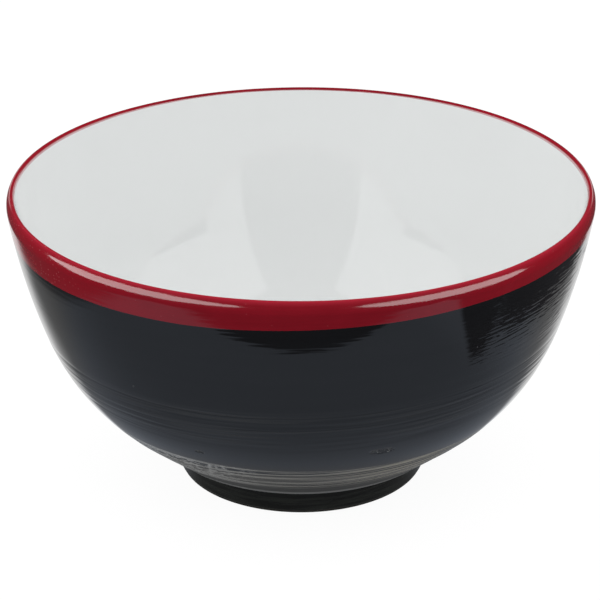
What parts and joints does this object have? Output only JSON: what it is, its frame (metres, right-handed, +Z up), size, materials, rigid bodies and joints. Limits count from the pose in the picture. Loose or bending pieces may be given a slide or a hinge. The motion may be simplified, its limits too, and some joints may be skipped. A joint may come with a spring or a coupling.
{
  "type": "salad bowl",
  "caption": "Round deep salad bowl on a turned foot ring: white glaze inside, a red banded lip and glossy black glaze with brushed rings outside.",
  "frame": {"origin": "centre of the foot ring on the table", "axes": "+Z up along the bowl's axis, -Y towards the viewer, +X to the viewer's right"},
  "size_m": [0.23, 0.23, 0.1198],
  "materials": {
    "clay": "fired bare clay, matt",
    "white_glaze": "glossy white glaze",
    "red_glaze": "glossy red glaze, banded with a brush",
    "black_glaze": "glossy black glaze with brushed rings",
    "black_foot_glaze": "black glaze, a little less glossy"
  },
  "bodies": {
    "root": {"clay_bowl": "clay", "clay_foot_ring": "clay", "white_inner_glaze": "white_glaze", "red_rim_glaze": "red_glaze", "black_outer_glaze": "black_glaze", "black_foot_glaze": "black_foot_glaze", "white_base_glaze": "white_glaze"}
  },
  "joints": []
}
